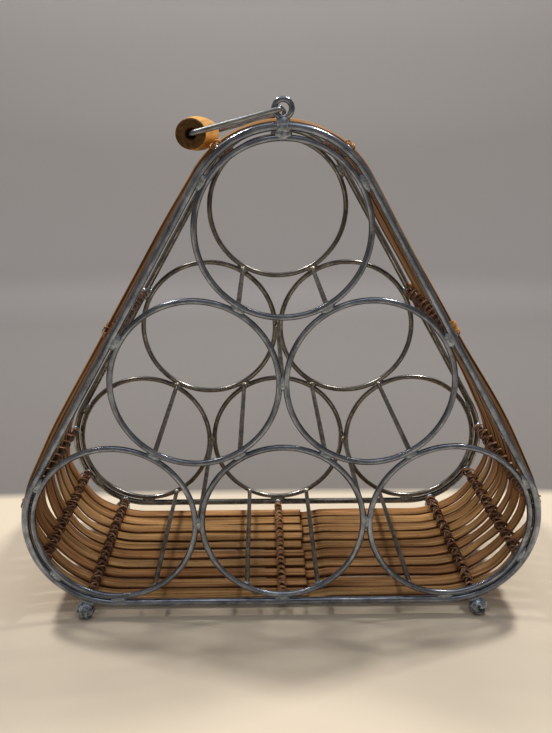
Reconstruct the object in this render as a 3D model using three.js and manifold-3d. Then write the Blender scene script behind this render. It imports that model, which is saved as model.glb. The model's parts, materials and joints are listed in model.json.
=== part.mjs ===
// Triangular wine rack for six bottles: two welded wire panels joined by cross rods, a wrap of cane
// slats lashed to rails round the outside, ball feet, and a folding bail with a turned wooden grip.
// Millimetres, +Z up, +Y to the back, origin on the floor under the middle of the rack.

import * as THREE from 'three';
import { mergeVertices } from 'three/addons/utils/BufferGeometryUtils.js';
import Module from 'manifold-3d';

const wasm = await Module();
wasm.setup();

// Wire panels
const ringBore = 94; // clear hole for one bottle
const ringWire = 3.6;
const frameWire = 4.5;
const rodWire = 3;
const railWire = 4;
const weldGap = 0.4; // between wires that are welded side by side
const frameGap = 0.6; // between the frame and the rings inside it
const seatGap = 0.3; // between pieces that rest on one another
const apexRise = 1.2; // the frame's top bend stands this much clear of the top ring
const bottleRestAngle = 27; // of a bottle rest, from straight below its ring's centre

// Cane wrap
const slatCount = 10;
const slatWidth = 9.6;
const slatThickness = 2;
const slatInset = 7.5; // from a frame wire to the nearest slat
const lowerBow = 3; // how far a slat springs out between a lower and an upper rail
const upperBow = 2; // and between an upper and a top rail
const lapInnerEnd = 16; // the upper layer of the lap ends this far right of the middle
const lapOuterEnd = 10; // the lower layer ends this far left of the middle
const lapStep = 2; // from the end of the upper layer to where the lower layer starts to climb
const lapClimb = 16; // length over which the lower layer climbs back to the wrap

// Rails and their lashings, by angle round the bend of the frame that they stand on
const bottomRailAngle = 20; // from straight down
const cornerRailAngle = 60;
const lowerRailAngle = 100;
const topRailAngle = 40; // from straight up
const strandWidth = 1.5;
const strandClearance = 0.3;
const gapSlack = 1; // spare room beside the strand between two slats

// Feet
const footBall = 11.5;
const footFlat = 0.6; // depth of the flat worn on the ball's underside
const footAngle = 20; // from straight down, round the lower bends

// Eyes, bail and grip
const eyeBore = 6.2;
const eyeWire = 3.2;
const eyeStem = 0.55; // gap between frame and eye that the welded stem fills
const stemFlare = 0.8; // the stem's foot is this much wider than its top, on each side
const bailWire = 3;
const hookClearance = 0.4;
const hookTail = 3.2;
const bailReach = 50.6; // from the eyes' axis to the grip's axis
const bailBend = 5;
const gripRestGap = 0.3; // between the folded grip and the lashing that it comes to rest over
const gripEndDiameter = 16.4;
const gripMiddleDiameter = 19.8;
const gripEdgeRound = 1.4;
const gripBoreClearance = 0.4;
const gripMouthClearance = 1.7;
const gripMouthDepth = 6;

// Facets
const ringSteps = 30;
const wireSides = 8;
const cornerSteps = 12;
const strandSides = 5;
const roundSteps = 18;
const bendSteps = 5;
const footSteps = 6;
const footSides = 12;

// Sizes that follow from the driving dimensions
const ringRadius = (ringBore + ringWire) / 2;
const pitch = ringBore + 2 * ringWire + weldGap;
const rowRise = pitch * Math.sin(Math.PI / 3);
const cornerRadius = ringRadius + ringWire / 2 + frameGap + frameWire / 2;
const slatGap = strandWidth + 2 * strandClearance + gapSlack;
const slatPitch = slatWidth + slatGap;
const slatStack = slatCount * slatPitch - slatGap;
const panelHalf = slatStack / 2 + slatInset + frameWire / 2;
const slatInner = railWire / 2 + seatGap;
const slatOuter = slatInner + slatThickness;
const lapDrop = slatThickness + seatGap;
const footReach = cornerRadius + frameWire / 2 + seatGap + footBall / 2;
const bottomRow = footReach * Math.cos(radians(footAngle)) + footBall / 2 - footFlat;
const topBend = bottomRow + 2 * rowRise + apexRise;
const eyeRadius = (eyeBore + eyeWire) / 2;
const eyeRise = cornerRadius + frameWire / 2 + eyeStem + eyeBore / 2 + eyeWire;
const hookRadius = eyeWire / 2 + hookClearance + bailWire / 2;
const armSpan = panelHalf + hookRadius;

const galvanised = { color: 0x7c8084, roughness: 0.45, metalness: 0.85 };
const cane = { color: 0x8c6539, roughness: 0.6, metalness: 0 };
const rattan = { color: 0x52301f, roughness: 0.55, metalness: 0 };
const turnedWood = { color: 0xc98b3e, roughness: 0.45, metalness: 0 };

function radians(degrees) {
  return (degrees * Math.PI) / 180;
}

function part(name, geometry, finish) {
  const mesh = new THREE.Mesh(geometry, new THREE.MeshStandardMaterial(finish));
  mesh.name = name;
  return mesh;
}

// A closed body from a geometry: shared vertices merged, faces pointing out.
function closedBody(geometry) {
  const bare = geometry.index ? geometry.toNonIndexed() : geometry.clone();
  bare.deleteAttribute('normal');
  bare.deleteAttribute('uv');
  const body = mergeVertices(bare, 1e-4);
  const corners = body.index.array;
  const points = body.attributes.position;
  const kept = [];
  let volume = 0;
  for (let i = 0; i < corners.length; i += 3) {
    const [a, b, c] = [corners[i], corners[i + 1], corners[i + 2]];
    if (a === b || b === c || c === a) continue;
    kept.push(a, b, c);
    const p = new THREE.Vector3().fromBufferAttribute(points, a);
    const q = new THREE.Vector3().fromBufferAttribute(points, b);
    const r = new THREE.Vector3().fromBufferAttribute(points, c);
    volume += p.dot(q.cross(r));
  }
  body.setIndex(volume < 0 ? kept.reverse() : kept);
  body.computeVertexNormals();
  return body;
}

// Rings of points joined into one body, with flat ends where the run isn't a loop.
function loft(rings, isLoop) {
  const sides = rings[0].length;
  const triangles = [];
  const spans = isLoop ? rings.length : rings.length - 1;
  const corner = (ring, side) => rings[ring % rings.length][side % sides];
  for (let i = 0; i < spans; i++) {
    for (let j = 0; j < sides; j++) {
      triangles.push(corner(i, j), corner(i, j + 1), corner(i + 1, j + 1));
      triangles.push(corner(i, j), corner(i + 1, j + 1), corner(i + 1, j));
    }
  }
  for (let j = 1; j < sides - 1 && !isLoop; j++) {
    triangles.push(corner(0, 0), corner(0, j + 1), corner(0, j));
    triangles.push(corner(spans, 0), corner(spans, j), corner(spans, j + 1));
  }
  return closedBody(new THREE.BufferGeometry().setFromPoints(triangles));
}

// A round wire along a path of points, mitred where the path turns.
function wireAlong(path, diameter, sides) {
  const along = (i) => path[i + 1].clone().sub(path[i]).normalize();
  const last = path.length - 1;
  let heading = along(0);
  let across = new THREE.Vector3(heading.y, heading.z, heading.x).cross(heading).normalize();
  const rings = path.map((centre, i) => {
    const before = along(Math.max(i - 1, 0));
    const after = along(Math.min(i, last - 1));
    const tangent = before.clone().add(after).normalize();
    const turn = new THREE.Quaternion().setFromUnitVectors(heading, tangent);
    across = across.clone().applyQuaternion(turn);
    heading = tangent;
    const up = tangent.clone().cross(across);
    const bend = after.clone().sub(before).normalize();
    const stretch = 1 / tangent.dot(before) - 1;
    return Array.from({ length: sides }, (unused, j) => {
      const angle = ((j + 0.5) / sides) * 2 * Math.PI;
      const spoke = across.clone().multiplyScalar(Math.cos(angle)).addScaledVector(up, Math.sin(angle));
      spoke.addScaledVector(bend, spoke.dot(bend) * stretch);
      return centre.clone().addScaledVector(spoke, diameter / 2);
    });
  });
  return loft(rings, false);
}

function toSolid(geometry) {
  const body = closedBody(geometry);
  const vertProperties = new Float32Array(body.attributes.position.array);
  const triVerts = new Uint32Array(body.index.array);
  return new wasm.Manifold(new wasm.Mesh({ numProp: 3, vertProperties, triVerts }));
}

function fromSolid(solid) {
  const mesh = solid.getMesh();
  const geometry = new THREE.BufferGeometry();
  geometry.setAttribute('position', new THREE.BufferAttribute(new Float32Array(mesh.vertProperties), 3));
  geometry.setIndex(Array.from(mesh.triVerts));
  return closedBody(geometry);
}

// Corners of the rounded triangle, clockwise from the bottom left as seen from the front, each
// bend drawn round its arc so that every offset of the outline stays parallel to the others.
function outline(offset) {
  const bends = [
    { x: -pitch, z: bottomRow, start: -90 },
    { x: 0, z: topBend, start: 150 },
    { x: pitch, z: bottomRow, start: 30 },
  ];
  const step = 120 / cornerSteps;
  const reach = (cornerRadius + offset) / Math.cos(radians(step / 2));
  return bends.flatMap((bend) =>
    Array.from({ length: cornerSteps }, (unused, i) => {
      const angle = radians(bend.start - step * (i + 0.5));
      return { x: bend.x + reach * Math.cos(angle), z: bend.z + reach * Math.sin(angle) };
    }),
  );
}

// The frame wire of one panel: a ring of section points at every corner of the outline.
function frameLoop() {
  const section = Array.from({ length: wireSides }, (unused, j) => {
    const angle = ((j + 0.5) / wireSides) * 2 * Math.PI;
    const radius = frameWire / 2;
    return { y: radius * Math.sin(angle), corners: outline(radius * Math.cos(angle)) };
  });
  const rings = section[0].corners.map((unused, i) =>
    section.map(({ y, corners }) => new THREE.Vector3(corners[i].x, y, corners[i].z)),
  );
  return loft(rings, true);
}

// Where the slat rails stand on the frame, each with the direction that it faces outwards.
function railPlaces() {
  const onBend = (name, x, z, angle) => {
    const facing = radians(angle);
    const spot = { x: x + cornerRadius * Math.cos(facing), z: z + cornerRadius * Math.sin(facing) };
    return { name, ...spot, facing };
  };
  const places = [onBend('bottom_centre', 0, bottomRow, -90)];
  for (const [side, sign] of [['left', -1], ['right', 1]]) {
    const turn = (fromDown) => -90 + sign * fromDown;
    places.push(onBend(`bottom_${side}`, sign * pitch, bottomRow, turn(bottomRailAngle)));
    places.push(onBend(`corner_${side}`, sign * pitch, bottomRow, turn(cornerRailAngle)));
    places.push(onBend(`lower_${side}`, sign * pitch, bottomRow, turn(lowerRailAngle)));
    const corners = outline(0);
    const low = sign < 0 ? corners[cornerSteps - 1] : corners[2 * cornerSteps];
    const high = sign < 0 ? corners[cornerSteps] : corners[2 * cornerSteps - 1];
    const facing = Math.atan2(sign * (high.x - low.x) * -1, sign * (high.z - low.z));
    places.push({ name: `upper_${side}`, x: (low.x + high.x) / 2, z: (low.z + high.z) / 2, facing });
    places.push(onBend(`top_${side}`, 0, topBend, 90 - sign * topRailAngle));
  }
  return places;
}

// The back frame carries the slat rails, welded to it and reaching to just behind the front frame.
function frameWithRails(rails) {
  const length = 2 * panelHalf - frameWire / 2 - weldGap;
  let solid = toSolid(frameLoop());
  for (const rail of rails) {
    const rod = new THREE.CylinderGeometry(railWire / 2, railWire / 2, length, wireSides);
    rod.translate(rail.x, -length / 2, rail.z);
    solid = solid.add(toSolid(rod));
  }
  return fromSolid(solid);
}

// The outline of one face of a slat. It seats on every rail, and springs out between the rails of
// the two straight sides.
function slatOutline(offset) {
  const corners = outline(offset);
  const sprung = (from, bows) => {
    const [a, b] = [corners[from], corners[from + 1]];
    const [runX, runZ] = [b.x - a.x, b.z - a.z];
    const length = Math.hypot(runX, runZ);
    return bows.map((bow, i) => {
      const share = (i + 1) / (bows.length + 1);
      const out = bow / length;
      return { x: a.x + share * runX - out * runZ, z: a.z + share * runZ + out * runX };
    });
  };
  const leftEnd = cornerSteps;
  const topEnd = 2 * cornerSteps;
  return [
    ...corners.slice(0, leftEnd),
    ...sprung(leftEnd - 1, [lowerBow, 0, upperBow]),
    ...corners.slice(leftEnd, topEnd),
    ...sprung(topEnd - 1, [upperBow, 0, lowerBow]),
    ...corners.slice(topEnd),
  ];
}

// One slat: a flat strip bent round the whole outline, its two ends lapped under the rack.
function slatLoop() {
  const face = (offset, drop) => {
    const floorRun = bottomRow - cornerRadius - offset;
    const climbStart = lapInnerEnd + lapStep;
    return [
      { x: lapInnerEnd, z: floorRun },
      ...slatOutline(offset),
      { x: climbStart + lapClimb, z: floorRun },
      { x: climbStart, z: floorRun - drop },
      { x: -lapOuterEnd, z: floorRun - drop },
    ];
  };
  const inner = face(slatInner, lapDrop);
  const outer = face(slatOuter, lapDrop);
  const rings = inner.map((point, i) => [
    new THREE.Vector3(point.x, -slatWidth / 2, point.z),
    new THREE.Vector3(outer[i].x, -slatWidth / 2, outer[i].z),
    new THREE.Vector3(outer[i].x, slatWidth / 2, outer[i].z),
    new THREE.Vector3(point.x, slatWidth / 2, point.z),
  ]);
  return loft(rings, false);
}

// The path of one lashing round a rail along Y, with the rack's inside up. In every gap between
// slats the strand comes up on one side of the rail, peaks over it on three corners of a hexagon,
// goes down on the other side and crosses under the next slat. Both ends stand square on a slat.
function lashingPath(wrapDepth) {
  const keep = strandClearance + strandWidth / 2;
  const side = railWire / 2 + keep;
  const peak = side / Math.cos(radians(30));
  const shoulder = peak / 2;
  const under = -(wrapDepth + keep);
  const tuck = strandClearance - slatInner;
  const gapAt = (k) => k * slatPitch - (slatStack + slatGap) / 2;
  const at = (x, y, z) => new THREE.Vector3(x, y, z);
  const first = gapAt(0.5);
  const last = gapAt(slatCount - 0.5);
  const path = [at(side, first, tuck), at(side, first, shoulder), at(0, gapAt(0.25), peak)];
  for (let k = 0; k < slatCount; k++) {
    const next = k + 1;
    path.push(at(-side, gapAt(k), shoulder), at(-side, gapAt(k), under));
    path.push(at(side, gapAt(next), under), at(side, gapAt(next), shoulder));
    path.push(at(0, gapAt(next < slatCount ? next : next - 0.25), peak));
  }
  path.push(at(-side, last, shoulder), at(-side, last, tuck));
  return path;
}

// The least clear space between turns of a wound strand, measured on points along its path.
function leastGap(path, diameter) {
  const spacing = diameter / 4;
  const points = [];
  path.slice(1).forEach((end, i) => {
    const count = Math.ceil(end.distanceTo(path[i]) / spacing);
    for (let s = 0; s < count; s++) points.push(path[i].clone().lerp(end, s / count));
  });
  const apart = Math.ceil((3 * diameter) / spacing);
  let least = Infinity;
  points.forEach((point, i) => {
    for (let j = i + apart; j < points.length; j++) least = Math.min(least, point.distanceTo(points[j]));
  });
  return least - diameter;
}

// A ball foot, turned round the vertical, with its worn flat below.
function ballFoot() {
  const radius = footBall / 2;
  const flatAngle = Math.acos(-(radius - footFlat) / radius);
  const profile = Array.from({ length: footSteps + 1 }, (unused, i) => {
    const angle = (i / footSteps) * flatAngle;
    return new THREE.Vector2(radius * Math.sin(angle), radius * Math.cos(angle));
  });
  profile.push(new THREE.Vector2(0, footFlat - radius));
  return closedBody(new THREE.LatheGeometry(profile, footSides)).rotateX(Math.PI / 2);
}

// An upright wire eye on a flared stem that straddles the frame wire. Its origin is its centre.
function eyeOnStem() {
  const loop = new THREE.TorusGeometry(eyeRadius, eyeWire / 2, wireSides, roundSteps).rotateX(Math.PI / 2);
  const drop = eyeRise - cornerRadius;
  const length = drop - eyeRadius;
  const stem = new THREE.CylinderGeometry(eyeWire / 2, eyeWire / 2 + stemFlare, length, wireSides);
  stem.rotateX(Math.PI / 2).translate(0, 0, -eyeRadius - length / 2);
  const saddleRadius = frameWire / 2 + seatGap;
  const saddle = new THREE.CylinderGeometry(saddleRadius, saddleRadius, 4 * frameWire, 2 * wireSides);
  saddle.rotateZ(Math.PI / 2).translate(0, 0, -drop);
  return fromSolid(toSolid(loop).add(toSolid(stem)).subtract(toSolid(saddle)));
}

// Points on an arc in the XY plane, between two angles in degrees.
function arc(x, y, radius, from, to, steps) {
  return Array.from({ length: steps + 1 }, (unused, i) => {
    const angle = radians(from + (i / steps) * (to - from));
    return new THREE.Vector3(x + radius * Math.cos(angle), y + radius * Math.sin(angle), 0);
  });
}

// The bail lies along -X from the eyes' axis. Each end hooks round the wire of its eye.
function bailPath() {
  const half = [
    new THREE.Vector3(-eyeRadius - hookTail, hookRadius - panelHalf, 0),
    ...arc(-eyeRadius, -panelHalf, hookRadius, 90, -90, 2 * bendSteps),
    ...arc(bailBend - bailReach, bailBend - armSpan, bailBend, -90, -180, bendSteps),
  ];
  const mirrored = half.map((point) => new THREE.Vector3(point.x, -point.y, 0)).reverse();
  return [...half, ...mirrored];
}

// A turned barrel grip round Y, bored for the bail and reamed at both mouths for its bends.
function barrelGrip() {
  const end = armSpan - bailBend / 2;
  const barrelEnd = end - gripEdgeRound;
  const endRadius = gripEndDiameter / 2;
  const swell = gripMiddleDiameter / 2 - endRadius;
  const boreRadius = bailWire / 2 + gripBoreClearance;
  const mouthRadius = bailWire / 2 + gripMouthClearance;
  const barrel = Array.from({ length: 2 * bendSteps + 1 }, (unused, i) => {
    const along = i / bendSteps - 1;
    return new THREE.Vector2(endRadius + swell * (1 - along * along), along * barrelEnd);
  });
  const profile = [
    new THREE.Vector2(mouthRadius, -end),
    new THREE.Vector2(endRadius - gripEdgeRound, -end),
    ...barrel,
    new THREE.Vector2(endRadius - gripEdgeRound, end),
    new THREE.Vector2(mouthRadius, end),
    new THREE.Vector2(boreRadius, end - gripMouthDepth),
    new THREE.Vector2(boreRadius, gripMouthDepth - end),
    new THREE.Vector2(mouthRadius, -end),
  ];
  return closedBody(new THREE.LatheGeometry(profile, roundSteps));
}

// How far below level the folded bail lies, where the grip comes to rest beside the top bend.
function foldAngle() {
  const standOff = slatOuter + strandClearance + strandWidth + gripRestGap + gripMiddleDiameter / 2;
  const toGrip = cornerRadius + standOff;
  const cosine = (eyeRise ** 2 + bailReach ** 2 - toGrip ** 2) / (2 * eyeRise * bailReach);
  return Math.PI / 2 - Math.acos(cosine);
}

// The ring centres of one panel, from the top down.
const bottlePlaces = [
  { name: 'top', x: 0, row: 2 },
  { name: 'middle_left', x: -pitch / 2, row: 1 },
  { name: 'middle_right', x: pitch / 2, row: 1 },
  { name: 'bottom_left', x: -pitch, row: 0 },
  { name: 'bottom_centre', x: 0, row: 0 },
  { name: 'bottom_right', x: pitch, row: 0 },
];

function panel(side, y, frame) {
  const group = new THREE.Group();
  group.position.y = y;
  group.add(part(`${side}_frame`, frame, galvanised));
  for (const place of bottlePlaces) {
    const ring = new THREE.TorusGeometry(ringRadius, ringWire / 2, wireSides, ringSteps);
    const mesh = part(`${side}_ring_${place.name}`, ring, galvanised);
    mesh.position.set(place.x, 0, bottomRow + place.row * rowRise);
    mesh.rotation.x = Math.PI / 2;
    group.add(mesh);
  }
  for (const [hand, sign] of [['left', -1], ['right', 1]]) {
    const foot = part(`${side}_foot_${hand}`, ballFoot(), galvanised);
    const turn = radians(footAngle);
    const out = pitch + footReach * Math.sin(turn);
    foot.position.set(sign * out, 0, bottomRow - footReach * Math.cos(turn));
    group.add(foot);
  }
  const eye = part(`${side}_eye`, eyeOnStem(), galvanised);
  eye.position.z = topBend + eyeRise;
  group.add(eye);
  return group;
}

// Rods from ring to ring, where the rings of a panel meet and where the lowest bottles lie.
function crossRods() {
  const rest = radians(bottleRestAngle);
  const restOut = ringRadius * Math.sin(rest);
  const restDown = -ringRadius * Math.cos(rest);
  const places = [
    { name: 'cross_rod_top_left', x: -pitch / 4, z: 1.5 * rowRise },
    { name: 'cross_rod_top_right', x: pitch / 4, z: 1.5 * rowRise },
    { name: 'cross_rod_middle', x: 0, z: rowRise },
    { name: 'cross_rod_lower_outer_left', x: -0.75 * pitch, z: rowRise / 2 },
    { name: 'cross_rod_lower_inner_left', x: -pitch / 4, z: rowRise / 2 },
    { name: 'cross_rod_lower_inner_right', x: pitch / 4, z: rowRise / 2 },
    { name: 'cross_rod_lower_outer_right', x: 0.75 * pitch, z: rowRise / 2 },
    { name: 'cross_rod_bottom_left', x: -pitch / 2, z: 0 },
    { name: 'cross_rod_bottom_right', x: pitch / 2, z: 0 },
    { name: 'bottle_rest_left', x: restOut - pitch, z: restDown },
    { name: 'bottle_rest_centre_left', x: -restOut, z: restDown },
    { name: 'bottle_rest_centre_right', x: restOut, z: restDown },
    { name: 'bottle_rest_right', x: pitch - restOut, z: restDown },
  ];
  const length = 2 * (panelHalf - ringWire / 2 - weldGap);
  const group = new THREE.Group();
  group.position.z = bottomRow;
  for (const place of places) {
    const rod = new THREE.CylinderGeometry(rodWire / 2, rodWire / 2, length, wireSides);
    const mesh = part(place.name, rod, galvanised);
    mesh.position.set(place.x, 0, place.z);
    group.add(mesh);
  }
  return group;
}

function caneWrap() {
  const group = new THREE.Group();
  const strip = slatLoop();
  for (let i = 0; i < slatCount; i++) {
    const slat = part(`cane_slat_${i + 1}`, strip, cane);
    slat.position.y = (i + 0.5) * slatPitch - (slatStack + slatGap) / 2;
    group.add(slat);
  }
  return group;
}

function lashings(rails) {
  const single = lashingPath(slatOuter);
  const lapped = lashingPath(slatOuter + lapDrop);
  const least = Math.min(leastGap(single, strandWidth), leastGap(lapped, strandWidth));
  console.log(`least gap of a lashing to itself: ${least.toFixed(2)} mm`);
  const group = new THREE.Group();
  for (const rail of rails) {
    const path = rail.name === 'bottom_centre' ? lapped : single;
    const mesh = part(`lashing_${rail.name}`, wireAlong(path, strandWidth, strandSides), rattan);
    mesh.position.set(rail.x, 0, rail.z);
    mesh.rotation.y = Math.atan2(-Math.cos(rail.facing), -Math.sin(rail.facing));
    group.add(mesh);
  }
  return group;
}

// The carrying handle, hung in the eyes and folded down to the left.
function handle() {
  const group = new THREE.Group();
  group.position.z = topBend + eyeRise;
  group.rotation.y = -foldAngle();
  group.add(part('bail', wireAlong(bailPath(), bailWire, wireSides), galvanised));
  const grip = part('grip', barrelGrip(), turnedWood);
  grip.position.x = -bailReach;
  group.add(grip);
  return group;
}

const rails = railPlaces();
const rack = new THREE.Group();
rack.add(panel('front', -panelHalf, frameLoop()));
rack.add(panel('back', panelHalf, frameWithRails(rails)));
rack.add(crossRods(), caneWrap(), lashings(rails), handle());

export default rack;
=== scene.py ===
"""Looks of the wire wine rack: galvanised wire panels with their welds, a wrap of cane slats lashed
with split rattan, ball feet, and a folding bail with a turned wooden grip. Metres, +Z up, +Y back.
"""

import json
import math
import zlib
from types import SimpleNamespace

import bmesh
import bpy
import numpy as np
from mathutils import Matrix, Vector, noise


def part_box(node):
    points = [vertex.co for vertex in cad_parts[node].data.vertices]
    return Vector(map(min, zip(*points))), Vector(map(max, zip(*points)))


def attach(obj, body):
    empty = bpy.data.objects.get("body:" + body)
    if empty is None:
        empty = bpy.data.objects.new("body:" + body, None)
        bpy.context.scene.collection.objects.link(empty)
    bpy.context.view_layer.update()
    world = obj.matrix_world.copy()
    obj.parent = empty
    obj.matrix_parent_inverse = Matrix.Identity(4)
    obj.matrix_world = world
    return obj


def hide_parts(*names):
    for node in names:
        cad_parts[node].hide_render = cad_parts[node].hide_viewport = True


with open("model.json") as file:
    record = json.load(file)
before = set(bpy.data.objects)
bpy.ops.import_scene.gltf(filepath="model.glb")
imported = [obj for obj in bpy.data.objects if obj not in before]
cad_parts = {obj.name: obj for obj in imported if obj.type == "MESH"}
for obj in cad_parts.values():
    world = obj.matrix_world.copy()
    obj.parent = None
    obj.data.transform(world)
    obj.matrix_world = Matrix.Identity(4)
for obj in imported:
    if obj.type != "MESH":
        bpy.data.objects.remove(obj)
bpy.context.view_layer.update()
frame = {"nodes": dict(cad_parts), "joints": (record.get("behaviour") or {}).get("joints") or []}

MM = 0.001

# Wires
RING_WIRE = 3.6 * MM
FRAME_WIRE = 4.5 * MM
ROD_WIRE = 3.0 * MM
RAIL_WIRE = 4.0 * MM
EYE_WIRE = 3.2 * MM
BAIL_WIRE = 3.0 * MM
WELD_GAP = 0.4 * MM
FRAME_GAP = 0.6 * MM  # between the frame and the rings inside it
SEAT_GAP = 0.3 * MM
APEX_RISE = 1.2 * MM  # the frame's top bend stands this much clear of the top ring
WIRE_SIDES = 20
WIRE_STEP = 2.0 * MM  # between the sections of a bent wire
END_ROUND = ((0.0, 0.55), (0.08, 0.87), (0.2, 1.0))  # depth in diameters, share of the radius

# Rails, by angle in degrees round the bend of the frame that they stand on
BOTTOM_RAIL_ANGLE = 20  # from straight down
CORNER_RAIL_ANGLE = 60
LOWER_RAIL_ANGLE = 100
TOP_RAIL_ANGLE = 40  # from straight up

# Cane slats
SLAT_COUNT = 10
SLAT_THICKNESS = 2.0 * MM
SLAT_CROWN = 0.85 * MM  # the skin side is domed by this much
SLAT_FULL_CROWN = 0.05 * MM  # and by this much where the edges are square
SLAT_INNER_CROWN = 0.1 * MM  # how much the edges of the inner side are eased
SLAT_ROUND = 0.3 * MM
SLAT_EDGE_DEPTH = -0.35 * MM  # where an edge reaches furthest out, from the middle of the thickness
SLAT_FACE = 0.93  # share of the width that is face, not rounded edge
SLAT_EDGE = 0.985  # and where the rounding of the edge starts
SLAT_STEP = 3.5 * MM
SLAT_END_BEVEL = 0.25 * MM
SLAT_END_THIN = 0.8  # share of the thickness that is left at the very end
SLAT_END_NARROW = 0.04  # how much an end narrows for each share of thickness that it loses
SLAT_PHASE = 3.7  # moves the grain on from slat to slat
LAP_INNER_END = 16 * MM  # the upper layer of the lap ends this far right of the middle
LAP_OUTER_END = 10 * MM  # the lower layer ends this far left of the middle
LAP_STEP = 2 * MM
LAP_CLIMB = 16 * MM
LAP_SCATTER = 1.2 * MM
SLAT_WANDER_HELD = 0.35 * MM  # sideways, where a rail holds the slat
SLAT_WANDER_FREE = 1.45 * MM  # and halfway between two rails
SLAT_TWIST_HELD = math.radians(2)
SLAT_TWIST_FREE = math.radians(10)
SLAT_BOW = 0.7 * MM
SLAT_WIDENING = (-0.05, 0.03)  # least and most that a slat's width changes along it, as shares
SLAT_WIDTH_SPREAD = 0.06  # how much one slat is wider or narrower than the next, as a share

# What the photograph shows of the slats, by station. Even stations are the rails, from the bottom
# middle to the left and on round, and odd stations lie halfway between them.
SPRING_OUT = {  # millimetres outwards, where the slats spring clear of the straight sides
    7: 1.9, 8: 2.1, 9: 1.3, 10: 0.2, 13: -0.6, 14: 0.7, 15: 2.6, 17: 0.9,
}
SPAN_WIDTHS = {  # how much wider the slats are, as a share
    0: 0.02, 1: 0.13, 2: 0.1, 3: 0.1, 4: 0.1, 5: 0.07, 6: 0.1, 7: 0.05,
    15: -0.07, 17: -0.03, 18: 0.03, 20: 0.1, 21: 0.13, 22: 0.02,
}
FULL_EDGES = {0: 1, 1: 1, 2: 0.9, 4: 0.4, 6: 0.5, 20: 0.9, 21: 1, 22: 1}  # how square, as a share
SLAT_STRAYS = {  # millimetres to the back, one for each slat, where the gaps are uneven
    1: (0.3, -0.2, 0.5, -0.3, 0.1, 0.6, -0.2, 0.3, -0.4, 0.2),
    3: (1.2, 0.5, 1.6, 0.5, -0.6, -1.7, -0.6, -0.3, -1, -1.8),
    5: (-0.6, -2.3, -3.9, -5.4, 3.3, 1.6, 2.8, 1.2, -0.4, -2.1),
    17: (-4.8, -7.4, -1.2, 1.8, -0.4, 1, -0.2, -1.4, -0.6, -0.6),
    19: (-1.9, -0.9, 1.2, 3.6, 1.6, 0.6, 0.9, -0.8, -0.8, -0.6),
    21: (0.2, -0.5, 0.4, -0.2, 0.5, -0.4, 0.1, -0.5, 0.3, 0),
}

# Rattan lashings
STRAND_WIDTH = 1.7 * MM
STRAND_THICKNESS = 1.0 * MM
STRAND_IN_GAP = 1.3 * MM
STRAND_CLEARANCE = 0.1 * MM
STRAND_PAIR = 0.7 * MM  # each strand of a pair lies this far from the middle of its gap
STRAND_SLANT = 2.3 * MM  # it leans about this far to either side of the gap as it crosses the rail
STRAND_SLANTS = (0.1, 1.6)  # least and most of that lean, as shares
STRAND_SHIFT = 0.7 * MM  # how far a turn strays along the rail
STRAND_LIFT = 0.9 * MM  # how far a turn may stand up off the rail
STRAND_SAG = 0.3 * MM  # how far it may hang off the slats
STRAND_OVERLAP = 0.8  # how far one strand of a pair is lifted over the other, in thicknesses
STRAND_FLARE = 0.75 * MM  # it stands off the rail's sides by this much before it enters the gap
STRAND_SIDES = 8
LASHING_PHASE = 2.3  # moves the grain on from rail to rail
STRAND_PHASE = 0.7  # and from strand to strand
STRAND_UNEVEN = 0.28  # how much a strand's width changes from turn to turn, as a share
WRAP_ANGLES = (-5, 35, 65, 90, 115, 145, 185)  # degrees round the rail at which it is placed
BARE_RAILS = ("upper_left", "upper_right", "lower_left")  # these have the pair of strands alone
LOOSE_RAILS = ("bottom_left", "bottom_right", "corner_left", "corner_right", "lower_right")
LOOSE_SWAY = 0.9 * MM  # how far a pair strays to either side of these rails
LOOSE_LIFT = 0.7 * MM  # how much higher it may stand on them
TIGHT_RAILS = {  # slack and thickness of the pair, as shares of the usual ones
    "bottom_centre": (0.15, 0.6),
    "upper_left": (0.1, 0.45),
    "lower_left": (0.1, 0.6),
}
STRAND_SQUEEZED = 0.22 * MM  # how thin a strand is pressed between a rail and a slat
BINDER = (1.5 * MM, STRAND_THICKNESS, 1)  # width, thickness, turns to a slat
PLAIT = (2.1 * MM, 0.85 * MM, 2)  # the same of the broad, thin strips plaited over the lap
PLAIT_SKIN = 0.35  # share of honey colour that these strips keep inside the wrap, where strands are otherwise painted darker as shade
BINDER_LIFT = 0.5 * MM
BINDER_STRAY = 0.9 * MM
BINDER_OVERLAP = 0.75  # how far one binder is lifted over the other, in thicknesses
BINDER_CLEARANCE = 0.03 * MM
KNOTS = {  # radius and distance along the outline in millimetres, turns, least share of honey colour, which keeps a knot from the painted shade inside the wrap
    "upper_left": (0.6, 2.2, 2.2, 0.25),
    "top_left": (0.8, 0.0, 2.6, 0.5),
    "top_right": (1.35, 0.0, 2.6, 0.8),
    "upper_right": (2.0, 2.5, 4.4, 1.0),
}
KNOT_STRAND = 1.7 * MM
KNOT_DEPTH = 0.62  # how far out a knot lies, from the rail to the strands under the slats
KNOT_UNEVEN = 0.12

# Feet, bail and grip
FOOT_BALL = 11.5 * MM
FOOT_FLAT = 0.6 * MM
FOOT_POLE = 0.02  # radians from the poles to the first and last ring of points
FOOT_RINGS = 24
FOOT_SIDES = 40
HOOK_CLEARANCE = 0.4 * MM
HOOK_TAIL = 3.2 * MM
BAIL_BEND = 5 * MM
GRIP_END_DIAMETER = 16.4 * MM
GRIP_MIDDLE_DIAMETER = 19.8 * MM
GRIP_EDGE_ROUND = 1.4 * MM
GRIP_MOUTH_RADIUS = 3.2 * MM
GRIP_BORE_RADIUS = 1.9 * MM
GRIP_MOUTH_DEPTH = 6 * MM
GRIP_MOUTH_EASE = 0.3 * MM
GRIP_SIDES = 72

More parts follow.
